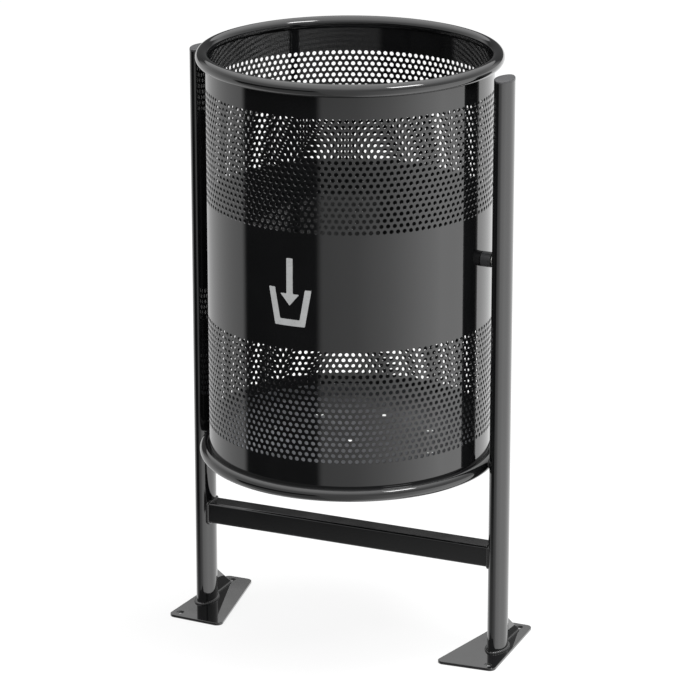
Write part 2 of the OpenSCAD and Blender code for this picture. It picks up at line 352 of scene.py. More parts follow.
def rounded(corners, radius, steps=8):
    """Outline of a convex polygon, given counter-clockwise, with every corner rounded."""
    corners = [Vector(c) for c in corners]
    count = len(corners)
    points = []
    for i, corner in enumerate(corners):
        into = (corner - corners[i - 1]).normalized()
        out = (corners[(i + 1) % count] - corner).normalized()
        n0, n1 = Vector((into.y, -into.x)), Vector((out.y, -out.x))
        middle = corner - radius * (n0 + n1) / (1 + n0.dot(n1))
        a0 = math.atan2(n0.y, n0.x)
        sweep = (math.atan2(n1.y, n1.x) - a0) % (2 * math.pi)
        points += arc(middle.x, middle.y, radius, a0, sweep, steps)
    return points


def bead(points, radius, name, cyclic=False, ripple=0.1):
    """A weld bead: a tube along points whose thickness ripples."""
    wave = 3.2 * MM
    curve = bpy.data.curves.new(name, "CURVE")
    curve.dimensions = "3D"
    curve.bevel_depth = radius
    curve.bevel_resolution = 3
    curve.use_fill_caps = True
    line = curve.splines.new("POLY")
    line.points.add(len(points) - 1)
    line.use_cyclic_u = cyclic
    along = 0.0
    for i, (spot, place) in enumerate(zip(line.points, points)):
        if i:
            along += (Vector(place) - Vector(points[i - 1])).length
        spot.co = (*place, 1)
        spot.radius = 1 + ripple * math.sin(2 * math.pi * along / wave)
    obj = bpy.data.objects.new(name, curve)
    bpy.context.scene.collection.objects.link(obj)
    graph = bpy.context.evaluated_depsgraph_get()
    mesh = bpy.data.meshes.new_from_object(obj.evaluated_get(graph))
    bpy.data.objects.remove(obj)
    return mesh


def even_steps(points, step, closed=False):
    """The same route with a point about every step."""
    route = [Vector(p) for p in points]
    if closed:
        route.append(route[0])
    out = []
    for a, b in zip(route, route[1:]):
        parts = max(1, round((b - a).length / step))
        out += [a.lerp(b, k / parts) for k in range(parts)]
    if not closed:
        out.append(route[-1])
    return [tuple(p) for p in out]


def bend_round(bm, radius):
    """Bends what lies flat in XY round the Z axis: x runs round from the front, y becomes the height."""
    for v in bm.verts:
        turn = v.co.x / radius
        reach = radius + v.co.z
        v.co = Vector((reach * math.sin(turn), -reach * math.cos(turn), v.co.y))


def round_normals(mesh):
    """Gives faces that lie on the round wall the wall's own true normals, so that reflections stay smooth."""
    loops = len(mesh.loops)
    index = np.empty(loops, np.int32)
    mesh.loops.foreach_get("vertex_index", index)
    place = np.empty(len(mesh.vertices) * 3)
    mesh.vertices.foreach_get("co", place)
    place = place.reshape(-1, 3)
    face_normal = np.empty(len(mesh.polygons) * 3)
    mesh.polygons.foreach_get("normal", face_normal)
    face_normal = face_normal.reshape(-1, 3)
    sizes = np.empty(len(mesh.polygons), np.int32)
    mesh.polygons.foreach_get("loop_total", sizes)
    normals = np.repeat(face_normal, sizes, axis=0)
    radial = place[index] * (1, 1, 0)
    radial /= np.linalg.norm(radial, axis=1)[:, None]
    lean = (normals * radial).sum(1)
    on_wall = np.abs(lean) > 0.95
    normals[on_wall] = radial[on_wall] * np.sign(lean[on_wall])[:, None]
    mesh.shade_smooth()
    mesh.normals_split_custom_set(normals.tolist())


# ---- materials


class Nodes:
    """Short way to build a node tree."""

    def __init__(self, tree):
        self.tree = tree

    def add(self, kind, settings=None, **inputs):
        """Adds a node; an input is a value or the socket that feeds it, and _0 is the first input."""
        node = self.tree.nodes.new(kind)
        for name, value in (settings or {}).items():
            setattr(node, name, value)
        for name, value in inputs.items():
            socket = node.inputs[int(name[1:])] if name[0] == "_" else node.inputs[name.replace("_", " ")]
            if isinstance(value, bpy.types.NodeSocket):
                self.tree.links.new(value, socket)
            else:
                socket.default_value = value
        return node


def new_material(name):
    """A material with its tree cleared, its shader and its output."""
    material = bpy.data.materials.new(name)
    material.use_nodes = True
    nodes = Nodes(material.node_tree)
    nodes.tree.nodes.clear()
    shader = nodes.add("ShaderNodeBsdfPrincipled")
    out = nodes.add("ShaderNodeOutputMaterial")
    nodes.tree.links.new(shader.outputs["BSDF"], out.inputs["Surface"])
    return material, nodes, shader


def noise(nodes, scale, detail=2.0, stretch=(1, 1, 1)):
    """Noise over the piece's own coordinates, in metres."""
    coords = nodes.add("ShaderNodeTexCoord").outputs["Object"]
    mapped = nodes.add("ShaderNodeMapping", Vector=coords, Scale=stretch).outputs["Vector"]
    return nodes.add("ShaderNodeTexNoise", Vector=mapped, Scale=scale, Detail=detail).outputs["Fac"]


def spread(nodes, value, low, high, start=0.3, end=0.7):
    """Maps a value from start..end to low..high."""
    return nodes.add("ShaderNodeMapRange", _0=value, _1=start, _2=end, _3=low, _4=high).outputs["Result"]


def bump(nodes, height, distance):
    """A bump of a real height in metres."""
    return nodes.add("ShaderNodeBump", Strength=1.0, Distance=distance, Height=height).outputs["Normal"]


def blend(nodes, factor, first, second, kind="MIX"):
    """Mixes two colours, given as values or as the sockets that feed them."""
    return nodes.add("ShaderNodeMix", {"data_type": "RGBA", "blend_type": kind}, _0=factor, _6=first,
                     _7=second).outputs[2]


def tint(nodes, factor, base, low=1.0, high=1.0):
    """A colour that goes from low to high times its strength by a factor."""
    return blend(nodes, factor, (*(c * low for c in base), 1), (*(c * high for c in base), 1))


def feed(nodes, shader, base, rough, normal, **fixed):
    """Feeds a shader its colour, roughness and normal, and sets its other values."""
    for name, socket in (("Base Color", base), ("Roughness", rough), ("Normal", normal)):
        nodes.tree.links.new(socket, shader.inputs[name])
    for name, value in fixed.items():
        shader.inputs[name.replace("_", " ")].default_value = value


def gloss_powder_coat(name="gloss powder coat", peel=1.0, rough=0.055):
    """Dark grey gloss powder coat: orange peel, faint haze and a little dust in the colour."""
    material, nodes, shader = new_material(name)
    dust = spread(nodes, noise(nodes, 9.0, 5.0), 0.0, 1.0, 0.45, 0.8)
    haze = spread(nodes, noise(nodes, 26.0, 4.0), rough * 0.8, rough * 1.35)
    feed(nodes, shader, tint(nodes, dust, FINISH.coat, high=1.45), haze,
         bump(nodes, noise(nodes, 520.0, 2.0), 0.008 * MM * peel), IOR=1.52)
    return material


def welded_coat():
    """The same coat over a weld, where it is thicker and runs."""
    return gloss_powder_coat("powder coat on welds", peel=6.0, rough=0.10)


def dusty_coat():
    """The pan's coat: dull and dusty from use inside, clean on the underside."""
    material, nodes, shader = new_material("dusty powder coat")
    underside = PAN_LOW.z + 0.7 * MM
    spot = nodes.add("ShaderNodeTexCoord").outputs["Object"]
    height = nodes.add("ShaderNodeSeparateXYZ", Vector=spot).outputs["Z"]
    inside = nodes.add("ShaderNodeMath", {"operation": "GREATER_THAN"}, _0=height, _1=underside).outputs[0]
    layer = spread(nodes, noise(nodes, 14.0, 6.0), 0.6, 1.0, 0.35, 0.75)
    cover = nodes.add("ShaderNodeMath", {"operation": "MULTIPLY"}, _0=layer, _1=inside).outputs[0]
    feed(nodes, shader, tint(nodes, cover, FINISH.coat, high=30),
         spread(nodes, cover, 0.45, 0.8, 0.0, 1.0), bump(nodes, noise(nodes, 700.0, 4.0), 0.02 * MM),
         Specular_IOR_Level=0.3)
    return material


def moulded_plastic():
    """Black satin plastic with a fine moulded grain."""
    material, nodes, shader = new_material("black moulded plastic")
    tone = spread(nodes, noise(nodes, 40.0, 3.0), 0.0, 1.0)
    feed(nodes, shader, tint(nodes, tone, FINISH.plastic, high=1.8),
         spread(nodes, noise(nodes, 300.0), 0.34, 0.5), bump(nodes, noise(nodes, 2200.0, 3.0), 0.03 * MM))
    return material


def buffer_rubber():
    """Matt black rubber."""
    material, nodes, shader = new_material("buffer rubber")
    tone = spread(nodes, noise(nodes, 60.0, 3.0), 0.0, 1.0)
    feed(nodes, shader, tint(nodes, tone, FINISH.rubber, high=1.7),
         spread(nodes, noise(nodes, 240.0), 0.62, 0.8), bump(nodes, noise(nodes, 1500.0, 2.0), 0.05 * MM))
    return material


def zinc_plate():
    """Bright zinc plating with turning marks and a mottled haze."""
    material, nodes, shader = new_material("zinc plating")
    tone = spread(nodes, noise(nodes, 180.0, 3.0), 0.0, 1.0)
    marks = noise(nodes, 900.0, 2.0, stretch=(4, 1, 1))
    feed(nodes, shader, tint(nodes, tone, FINISH.zinc, low=0.72),
         spread(nodes, noise(nodes, 420.0), 0.22, 0.42), bump(nodes, marks, 0.03 * MM), Metallic=1.0)
    return material


def sign_film():
    """Pale grey sign film with a soft gloss and faint dirt."""
    material, nodes, shader = new_material("sign film")
    dirt = spread(nodes, noise(nodes, 70.0, 5.0), 0.0, 1.0, 0.4, 0.75)
    feed(nodes, shader, tint(nodes, dirt, FINISH.film, high=0.88),
         spread(nodes, noise(nodes, 300.0), 0.24, 0.36), bump(nodes, noise(nodes, 650.0), 0.015 * MM))
    return material


def floor_paint():
    """Plain pale studio floor, lit evenly from within, so that it is hardly brighter than white anywhere."""
    material, nodes, shader = new_material("studio floor")
    tone = spread(nodes, noise(nodes, 3.0, 3.0), 0.0, 1.0)
    nodes.tree.links.new(tint(nodes, tone, FINISH.floor, high=0.985), shader.inputs["Base Color"])
    shader.inputs["Roughness"].default_value = 0.7
    shader.inputs["Specular IOR Level"].default_value = 0.1
    glow = nodes.add("ShaderNodeEmission", Color=(1.0, 1.0, 1.0, 1), Strength=0.94)
    both = nodes.add("ShaderNodeMixShader", _0=0.92, _1=shader.outputs["BSDF"], _2=glow.outputs[0])
    nodes.tree.links.new(both.outputs[0], nodes.tree.get_output_node("ALL").inputs["Surface"])
    return material


MATERIALS = {}


def finish_of(maker):
    """A finish, made once."""
    if maker.__name__ not in MATERIALS:
        MATERIALS[maker.__name__] = maker()
    return MATERIALS[maker.__name__]


# ---- the basket's wall


def hole_brick(pitch, row, hole_r, sides):
    """One flat brick of sheet round a hole, with a spare point halfway along its long edges."""
    bm = fresh()
    bmesh.ops.create_grid(bm, x_segments=2, y_segments=1, size=0.5)
    bmesh.ops.scale(bm, vec=(pitch, row, 1), verts=bm.verts[:])
    bmesh.ops.dissolve_edges(bm, edges=[e for e in bm.edges if len(e.link_faces) == 2])
    bmesh.ops.delete(bm, geom=bm.faces[:], context="FACES_ONLY")
    bmesh.ops.create_circle(bm, cap_ends=False, radius=hole_r, segments=sides)
    bmesh.ops.triangle_fill(bm, edges=bm.edges[:], use_beauty=True, use_dissolve=False, normal=(0, 0, 1))
    return bm


def perforated_band(sizes, low_z):
    """A band of staggered holes, still flat, with x once round the basket."""
    pitch = 2 * math.pi * WALL_R / sizes.columns
    bm = hole_brick(pitch, sizes.row, sizes.hole / 2, sizes.sides)
    second = bmesh.ops.duplicate(bm, geom=whole(bm))["geom"]
    bmesh.ops.translate(bm, vec=(pitch / 2, sizes.row, 0), verts=only_verts(second))
    for step, copies in (((pitch, 0, 0), sizes.columns - 1), ((0, 2 * sizes.row, 0), sizes.rows // 2 - 1)):
        bmesh.ops.spin(bm, geom=whole(bm), dvec=step, axis=(0, 0, 1), angle=0, steps=copies,
                       use_duplicate=True)
    shift(bm, (0, low_z + sizes.row / 2, 0))
    bmesh.ops.remove_doubles(bm, verts=bm.verts[:], dist=0.01 * MM)
    return bm


def wall_piece(sizes, name, band_low, low_z, high_z):
    """One stretch of the wall: a perforated band with plain sheet below and above it, given its thickness."""
    bm = perforated_band(sizes, band_low)
    bend_round(bm, WALL_R)
    bmesh.ops.remove_doubles(bm, verts=bm.verts[:], dist=0.01 * MM)
    band_high = band_low + sizes.rows * sizes.row
    for edge_z, end_z in ((band_low, low_z), (band_high, high_z)):
        rim = [e for e in bm.edges if e.is_boundary and all(abs(v.co.z - edge_z) < 0.1 * MM for v in e.verts)]
        new = bmesh.ops.extrude_edge_only(bm, edges=rim)["geom"]
        bmesh.ops.translate(bm, vec=(0, 0, end_z - edge_z), verts=only_verts(new))
    inward = [f for f in bm.faces if f.normal.dot(f.calc_center_median() * Vector((1, 1, 0))) < 0]
    bmesh.ops.reverse_faces(bm, faces=inward)
    bmesh.ops.solidify(bm, geom=bm.faces[:], thickness=sizes.thickness)
    if low_z < PIVOT_Z < high_z:
        cutter = fresh()
        along_x = Matrix.Translation((0, 0, PIVOT_Z)) @ Matrix.Rotation(math.pi / 2, 4, "Y")
        rod(cutter, sizes.pivot_hole, 2 * RIM_R, along_x, 48)
        bm = cut_away(bm, cutter)
    mesh = as_mesh(bm, name)
    round_normals(mesh)
    piece(mesh, name, gloss_powder_coat, BASKET, "basket_wall", sharp=None)


class BIN_OT_wall(bpy.types.Operator):
    """Builds the basket's wall with its two perforated bands"""

    bl_idname = "litter_bin.wall"
    bl_label = "Perforated wall"

    def execute(self, context):
        sizes = context.scene.bin_wall
        band_h = sizes.rows * sizes.row
        upper_low = WALL_HIGH.z - sizes.top_collar - band_h
        lower_low = WALL_LOW.z + sizes.bottom_collar
        middle = (upper_low + lower_low + band_h) / 2
        low_z, high_z = WALL_LOW.z - sizes.tuck, WALL_HIGH.z + sizes.tuck
        wall_piece(sizes, "wall_upper_half", upper_low, middle, high_z)
        wall_piece(sizes, "wall_lower_half", lower_low, low_z, middle)
        return {"FINISHED"}


class BIN_OT_rings(bpy.types.Operator):
    """Builds the bent tube rings at the basket's top and bottom"""

    bl_idname = "litter_bin.rings"
    bl_label = "Tube rings"

    def execute(self, context):
        for node in ("top_ring", "bottom_ring"):
            low, high = low_high(node)
            bm = fresh()
            lathe(bm, circle(TUBE_R, 28, RING_R, (low.z + high.z) / 2), 2 * context.scene.bin_wall.columns)
            piece(bm, node + "_tube", gloss_powder_coat, BASKET, node)
        return {"FINISHED"}


class BIN_OT_floor_pan(bpy.types.Operator):
    """Builds the floor pan with its drain holes"""

    bl_idname = "litter_bin.floor_pan"
    bl_label = "Floor pan"

    def execute(self, context):
        thick, drain = context.scene.bin_wall.thickness, context.scene.bin_steel.drain
        outer, corner, quarter = PAN_HIGH.x, 3 * MM, math.pi / 2
        middle = (outer - corner, PAN_LOW.z + corner)
        outside = arc(*middle, corner, -quarter, quarter, 5)
        inside = arc(*middle, corner - thick, 0.0, -quarter, 5)
        outline = [(0, PAN_LOW.z), *outside, (outer, PAN_HIGH.z), (outer - thick, PAN_HIGH.z), *inside,
                   (0, PAN_LOW.z + thick)]
        bm = fresh()
        lathe(bm, outline, 120, closed=False)
        ring_r, ring_count = 120 * MM, 8
        bm = cut_holes(bm, [(x, y, drain) for x, y in ((0, 0), *circle(ring_r, ring_count))], 2 * PAN_HIGH.z)
        piece(bm, "floor_pan_pressed", dusty_coat, BASKET, "floor_pan")
        return {"FINISHED"}


class BIN_OT_seam(bpy.types.Operator):
    """Builds the weld bead of the wall's seam, inside the basket"""

    bl_idname = "litter_bin.seam"
    bl_label = "Wall seam"

    def execute(self, context):
        sizes = context.scene.bin_wall
        low, high = low_high("seam_weld")
        turn = math.atan2((low.y + high.y) / 2, (low.x + high.x) / 2)
        reach = WALL_R - sizes.thickness
        spot = (reach * math.cos(turn), reach * math.sin(turn))
        upper_low = WALL_HIGH.z - sizes.top_collar - sizes.rows * sizes.row
        spans = ((low.z, upper_low), (WALL_HIGH.z - sizes.top_collar, high.z))
        step, radius = 0.8 * MM, 0.9 * MM
        made = [bead(even_steps([(*spot, a + MM), (*spot, b - MM)], step), radius, "seam", ripple=0.12)
                for a, b in spans]
        piece(joined(made), "seam_bead", welded_coat, BASKET, "seam_weld")
        return {"FINISHED"}


# ---- the sign


def bucket_outline(width, height, stroke):
    """Outlines of the sign's bucket and of the arrow that points into it, in metres from the sign's foot."""
    bucket_h, bottom_w = 0.55 * height, 0.7 * width
    tip, arrow_w = 0.3 * height, 0.44 * width
    head_h = 0.6 * arrow_w
    slope = (width - bottom_w) / 2 / bucket_h
    half, foot = width / 2, bottom_w / 2
    inner = foot - stroke + slope * stroke
    bucket = [(-half, bucket_h), (-foot, 0), (foot, 0), (half, bucket_h), (half - stroke, bucket_h),
              (inner, stroke), (-inner, stroke), (stroke - half, bucket_h)]
    arrow = [(0, tip), (arrow_w / 2, tip + head_h), (stroke / 2, tip + head_h), (stroke / 2, height),
             (-stroke / 2, height), (-stroke / 2, tip + head_h), (-arrow_w / 2, tip + head_h)]
    return bucket, arrow


class BIN_OT_sign(bpy.types.Operator):
    """Builds the sign film on the front of the basket"""

    bl_idname = "litter_bin.sign"
    bl_label = "Bucket sign"

    def execute(self, context):
        low, high = low_high("bucket_sign")
        film_t, stroke, soft = 0.4 * MM, 9 * MM, 1.2 * MM
        made = []
        for outline in bucket_outline(high.x - low.x, high.z - low.z, stroke):
            bm = fresh()
            face = outline_face(bm, [(x, y + low.z) for x, y in outline])
            bmesh.ops.bevel(bm, geom=face.verts[:], offset=soft, offset_type="OFFSET", segments=4,
                            profile=0.5, affect="VERTICES", material=-1)
            bm.faces.ensure_lookup_table()
            raise_face(bm, bm.faces[0], film_t)
            slice_across(bm, 12)
            bend_round(bm, WALL_R)
            bmesh.ops.recalc_face_normals(bm, faces=bm.faces[:])
            made.append(bm)
        mesh = as_mesh(joined(made), "sign")
        round_normals(mesh)
        piece(mesh, "bucket_sign_film", sign_film, BASKET, "bucket_sign", sharp=None)
        return {"FINISHED"}


# ---- the pivots


def right_span(node):
    """Nearest and farthest distance of a right-hand round node along X, and its radius."""
    low, high = low_high("right_" + node)
    return low.x, high.x, (high.y - low.y) / 2


class BIN_OT_pivots(bpy.types.Operator):
    """Builds the pivot studs, bushes, washers, lock nuts, inserts and backing plates"""

    bl_idname = "litter_bin.pivots"
    bl_label = "Pivots"

    def execute(self, context):
        stud_r = context.scene.bin_steel.stud / 2
        bore = stud_r + 0.05 * MM
        for name, side in SIDES:
            self.stud(name, side, stud_r)
            self.bush(name, side, bore)
            self.washer(name, side, bore)
            self.nut(name, side, bore)
            self.insert(name, side, bore)
            self.backing(name, side, context.scene.bin_wall.thickness)
        return {"FINISHED"}

    def stud(self, name, side, radius):
        """The stud, with its thread showing at the inner end."""
        near, far, _ = right_span("pivot_stud")
        pitch, depth, turns, soft = 1.5 * MM, 0.6 * MM, 8, 0.4 * MM
        root = radius - depth
        outline = [(0, near), (root - soft, near), (root, near + soft)]
        for k in range(turns):
            start = near + 0.5 * MM + k * pitch
            outline += [(root, start), (radius, start + 0.45 * pitch), (radius, start + 0.55 * pitch)]
        outline += [(radius, far), (0, far)]
        piece(turned(outline, side, PIVOT_Z, 32, closed=False), name + "_stud_thread", zinc_plate, STAND,
              name + "_pivot_stud")

    def bush(self, name, side, bore):
        """The nylon spacer bush with its barrel through the wall."""
        near, far, flange = right_span("bush")
        barrel, chamfer, foot, soft = 7.9 * MM, 1.0 * MM, 0.4 * MM, 0.3 * MM
        outline = [(bore, near), (barrel, near), (barrel, WALL_R), (flange - foot, WALL_R),
                   (flange, WALL_R + foot), (flange, far - chamfer), (flange - soft, far - soft),
                   (flange - chamfer, far), (bore, far)]
        piece(turned(outline, side, PIVOT_Z), name + "_spacer_bush", moulded_plastic, BASKET,
              name + "_bush", sharp=30)

    def washer(self, name, side, bore):
        """The flat washer, its edges broken."""
        near, far, radius = right_span("washer")
        soft = 0.3 * MM
        outline = [(bore, near), (radius - soft, near), (radius, near + soft), (radius, far - soft),
                   (radius - soft, far), (bore, far)]
        piece(turned(outline, side, PIVOT_Z), name + "_flat_washer", zinc_plate, STAND,
              name + "_washer", sharp=30)

    def nut(self, name, side, bore):
        """The hexagon lock nut with its collar."""
        near, far, _ = right_span("lock_nut")
        corner = low_high("right_lock_nut")[1].z - PIVOT_Z
        collar_r, collar_h, soft = 7 * MM, 2 * MM, 0.6 * MM
        hexagon = slab(circle(corner, 6), far - near - collar_h)
        shift(hexagon, (0, 0, near + collar_h))
        round_edges(hexagon, sharp_edges(hexagon), 0.5 * MM, 2)
        hexagon = cut_holes(hexagon, [(0, 0, 2 * bore)], 4 * far)
        collar = fresh()
        lathe(collar, [(bore, near), (collar_r - soft, near), (collar_r, near + soft),
                       (collar_r, near + collar_h), (bore, near + collar_h)], 48)
        bm = joined((collar, hexagon))
        lay_along_x(bm, side, PIVOT_Z)
        piece(bm, name + "_hexagon_nut", zinc_plate, STAND, name + "_lock_nut", sharp=25)

    def insert(self, name, side, bore):
        """The threaded insert's flange against the post, and its body inside."""
        near, far, flange = right_span("insert")
        body, soft, seat = 6.5 * MM, 0.3 * MM, POST_LOW.x
        outline = [(bore, near), (flange - soft, near), (flange, near + soft), (flange, seat), (body, seat),
                   (body, far), (bore, far)]
        piece(turned(outline, side, PIVOT_Z), name + "_insert_flange", zinc_plate, STAND,
              name + "_insert", sharp=30)

    def backing(self, name, side, wall_t):
        """The backing plate that is rolled to the wall's inside."""
        low, high = low_high("right_pivot_plate")
        thick, corner, hole = 3 * MM, 8 * MM, 16 * MM
        outer = WALL_R - wall_t
        half_h = (high.z - low.z) / 2
        half_w = outer * math.asin((high.y - low.y) / 2 / outer)
        square = [(-half_w, -half_h), (half_w, -half_h), (half_w, half_h), (-half_w, half_h)]
        bm = slab(rounded(square, corner), thick)
        round_edges(bm, sharp_edges(bm), 0.6 * MM, 2)
        bm = cut_holes(bm, [(0, 0, hole)], 20 * MM)
        slice_across(bm, 11)
        shift(bm, (0, PIVOT_Z, -thick))
        bend_round(bm, outer)
        bmesh.ops.rotate(bm, matrix=Matrix.Rotation(math.radians(90 * side), 3, "Z"), verts=bm.verts[:])
        bmesh.ops.recalc_face_normals(bm, faces=bm.faces[:])
        piece(bm, name + "_backing_plate", gloss_powder_coat, BASKET, name + "_pivot_plate",
              sharp=35)


class BIN_OT_buffers(bpy.types.Operator):
    """Builds the rubber buffers beside the lower ring"""

    bl_idname = "litter_bin.buffers"
    bl_label = "Rubber buffers"

    def execute(self, context):
        low, high = low_high("right_buffer")
        near, far, radius = right_span("buffer")
        dome, soft = 0.9 * MM, 1.0 * MM
        outline = [(0, near), (0.55 * radius, near + 0.12 * dome), (radius - soft, near + 0.5 * dome),
                   (radius - 0.3 * soft, near + 0.8 * dome), (radius, near + dome + 0.2 * soft),
                   (radius, far), (0, far)]
        for name, side in SIDES:
            bm = turned(outline, side, (low.z + high.z) / 2, 40, closed=False)
            piece(bm, name + "_rubber_buffer", buffer_rubber, STAND, name + "_buffer",
                  sharp=50)
        return {"FINISHED"}


# ---- the stand


class BIN_OT_posts(bpy.types.Operator):
    """Builds the two oval posts and their caps"""

    bl_idname = "litter_bin.posts"
    bl_label = "Posts and caps"

    def execute(self, context):
        for name, side in SIDES:
            self.tube(name, side)
            self.cap(name, side)
        return {"FINISHED"}

    def tube(self, name, side):
        """The oval tube, open at both ends like the real one."""
        wall_t = 2 * MM
        bm = slab(oval(), POST_HIGH.z - POST_LOW.z)
        bmesh.ops.delete(bm, geom=[f for f in bm.faces if abs(f.normal.z) > 0.5], context="FACES_ONLY")
        shift(bm, (side * POST_X, 0, POST_LOW.z))
        bmesh.ops.solidify(bm, geom=bm.faces[:], thickness=wall_t)
        piece(bm, name + "_oval_post", gloss_powder_coat, STAND, name + "_post", sharp=30)

    def cap(self, name, side):
        """The cap's head with its rounded rim, and the plug below it."""
        inset, rim, plug_inset = 0.1 * MM, 1.3 * MM, 2.2 * MM
        plug_low = low_high("right_post_cap")[0].z
        head = slab(oval(-inset), CAP_HIGH.z - POST_HIGH.z)
        top = [e for e in sharp_edges(head) if all(v.co.z > MM for v in e.verts)]
        round_edges(head, top, rim, 4)
        shift(head, (side * POST_X, 0, POST_HIGH.z))
        plug = slab(oval(-plug_inset), POST_HIGH.z - plug_low)
        shift(plug, (side * POST_X, 0, plug_low))
        piece(joined((head, plug)), name + "_moulded_cap", moulded_plastic, STAND,
              name + "_post_cap", sharp=50)


class BIN_OT_crossbar(bpy.types.Operator):
    """Builds the square crossbar and its weld beads"""

    bl_idname = "litter_bin.crossbar"
    bl_label = "Crossbar"

    def execute(self, context):
        steel = context.scene.bin_steel
        depth, height = BAR_HIGH.y - BAR_LOW.y, BAR_HIGH.z - BAR_LOW.z
        middle = (BAR_HIGH.z + BAR_LOW.z) / 2
        square = [(-height / 2, -depth / 2), (height / 2, -depth / 2), (height / 2, depth / 2),
                  (-height / 2, depth / 2)]
        bm = slab(rounded(square, steel.bar_corner), BAR_HIGH.x - BAR_LOW.x)
        shift(bm, (0, 0, BAR_LOW.x))
        lay_along_x(bm, 1, middle)
        piece(bm, "square_crossbar", gloss_powder_coat, STAND, "crossbar", sharp=30)
        for name, side in SIDES:
            route = [(side * post_face(y), y, middle + z) for z, y in rounded(square, steel.bar_corner, 5)]
            mesh = bead(even_steps(route, BEAD_STEP, closed=True), steel.weld, "bar_bead", cyclic=True)
            piece(mesh, name + "_bar_bead", welded_coat, STAND, name + "_bar_weld")
        return {"FINISHED"}


def plate_corners():
    """Sharp corners of the right-hand base plate, in metres from its post's middle."""
    front_in, front_out, rear_out, rear_in = -61.5 * MM, 25 * MM, 15.5 * MM, -27 * MM
    front_out_y = -76 * MM
    return [(front_in, PLATE_LOW.y), (front_out, front_out_y), (rear_out, PLATE_HIGH.y),
            (rear_in, PLATE_HIGH.y)]


class BIN_OT_feet(bpy.types.Operator):
    """Builds the base plates, the gussets and the beads at the posts' feet"""

    bl_idname = "litter_bin.feet"
    bl_label = "Feet"

    def execute(self, context):
        steel = context.scene.bin_steel
        for name, side in SIDES:
            self.plate(name, side, steel)
            self.gusset(name, side, steel)
            self.beads(name, side, steel)
        return {"FINISHED"}

    def plate(self, name, side, steel):
        """The trapezoid plate with rounded corners and two fixing holes."""
        thick = PLATE_HIGH.z - PLATE_LOW.z
        bm = slab(rounded(plate_corners(), steel.plate_corner), thick)
        round_edges(bm, sharp_edges(bm), steel.edge, 3)
        fixings = {m["name"]: m for m in frame["record"]["mounts"]}
        spots = []
        for mount in (fixings["front_fixings"], fixings["rear_fixings"]):
            spots.append((mount["dims"]["spacing_x_mm"] * MM / 2 - POST_X, mount["pos_m"][1], steel.fixing))
        bm = cut_holes(bm, spots, 10 * thick)
        shift(bm, (POST_X, 0, 0))
        if side < 0:
            bmesh.ops.scale(bm, vec=(-1, 1, 1), verts=bm.verts[:])
            bmesh.ops.reverse_faces(bm, faces=bm.faces[:])
        piece(bm, name + "_foot_plate", gloss_powder_coat, STAND, name + "_base_plate",
              sharp=30)

    def gusset(self, name, side, steel):
        """The triangular web behind the post."""
        low, high = low_high("right_gusset")
        thick = high.x - low.x
        front, rear_h = POST_D / 2 - 0.5 * MM, 3 * MM
        outline = [(front, low.z), (high.y, low.z), (high.y, low.z + rear_h), (front, high.z)]
        bm = slab(outline, thick)
        round_edges(bm, sharp_edges(bm), steel.edge, 2)
        turn = Matrix(((0, 0, 1, 0), (1, 0, 0, 0), (0, 1, 0, 0), (0, 0, 0, 1)))
        place = Matrix.Translation((side * POST_X - thick / 2, 0, 0)) @ turn
        bmesh.ops.transform(bm, matrix=place, verts=bm.verts[:])
        bmesh.ops.recalc_face_normals(bm, faces=bm.faces[:])
        piece(bm, name + "_web_gusset", gloss_powder_coat, STAND, name + "_gusset", sharp=30)

    def beads(self, name, side, steel):
        """One bead round the post's foot and one on each side of the gusset."""
        low, high = low_high("right_gusset")
        half_t = (high.x - low.x) / 2
        lift, gap, inset = 0.2 * MM, 0.4 * MM, 2 * MM
        z = PLATE_HIGH.z + lift
        ring = [(side * POST_X + x, y, z) for x, y in oval(gap)]
        made = [bead(even_steps(ring, BEAD_STEP, closed=True), steel.weld, "foot_bead", cyclic=True)]
        for edge in (-1, 1):
            x = side * POST_X + edge * half_t
            line = [(x, POST_D / 2 + inset, z), (x, high.y - MM, z)]
            rise = [(x, POST_D / 2, PLATE_HIGH.z + inset), (x, POST_D / 2, high.z - inset)]
            made.append(bead(even_steps(line, BEAD_STEP), 0.75 * steel.weld, "web_bead"))
            made.append(bead(even_steps(rise, BEAD_STEP), 0.7 * steel.weld, "web_bead"))
        piece(joined(made), name + "_foot_beads", welded_coat, STAND, name + "_foot_weld")


# ---- the stage


def ramp_of(nodes, factor, stops, top):
    """A grey ramp; stops are (place from 0 to 1, level), and levels are divided by top."""
    node = nodes.add("ShaderNodeValToRGB", Fac=factor)
    ramp = node.color_ramp
    for _ in range(len(stops) - 2):
        ramp.elements.new(0.5)
    for stop, (place, level) in zip(ramp.elements, stops):
        stop.position = place
        stop.color = (level / top, level / top, level / top, 1)
    return node.outputs["Color"]


